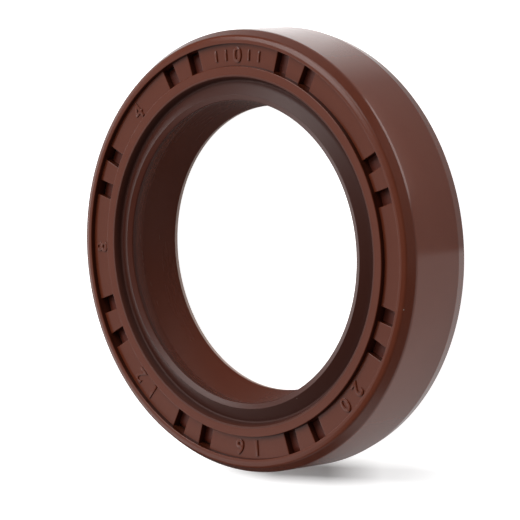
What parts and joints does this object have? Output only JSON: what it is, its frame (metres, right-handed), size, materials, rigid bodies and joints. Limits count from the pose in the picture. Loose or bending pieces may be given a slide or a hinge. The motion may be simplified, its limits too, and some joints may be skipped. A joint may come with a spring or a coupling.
{
  "type": "radial shaft seal",
  "caption": "Rubber-covered radial shaft seal: a ring with a chamfered outside, a slotted front face, a spring-loaded sealing lip and a dust lip.",
  "frame": {"origin": "centre of the ring, in the plane of the back face that it rests on", "axes": "+Z along the shaft axis, from the oil side to the marked air side; +X towards the picture's right"},
  "size_m": [0.036, 0.036, 0.007],
  "materials": {
    "brown_rubber": "moulded satin",
    "coated_steel": "phosphated and coated for bonding",
    "spring_steel": "drawn wire"
  },
  "bodies": {
    "root": {"rubber_body": "brown_rubber", "metal_case": "coated_steel", "garter_spring": "spring_steel"}
  },
  "joints": []
}
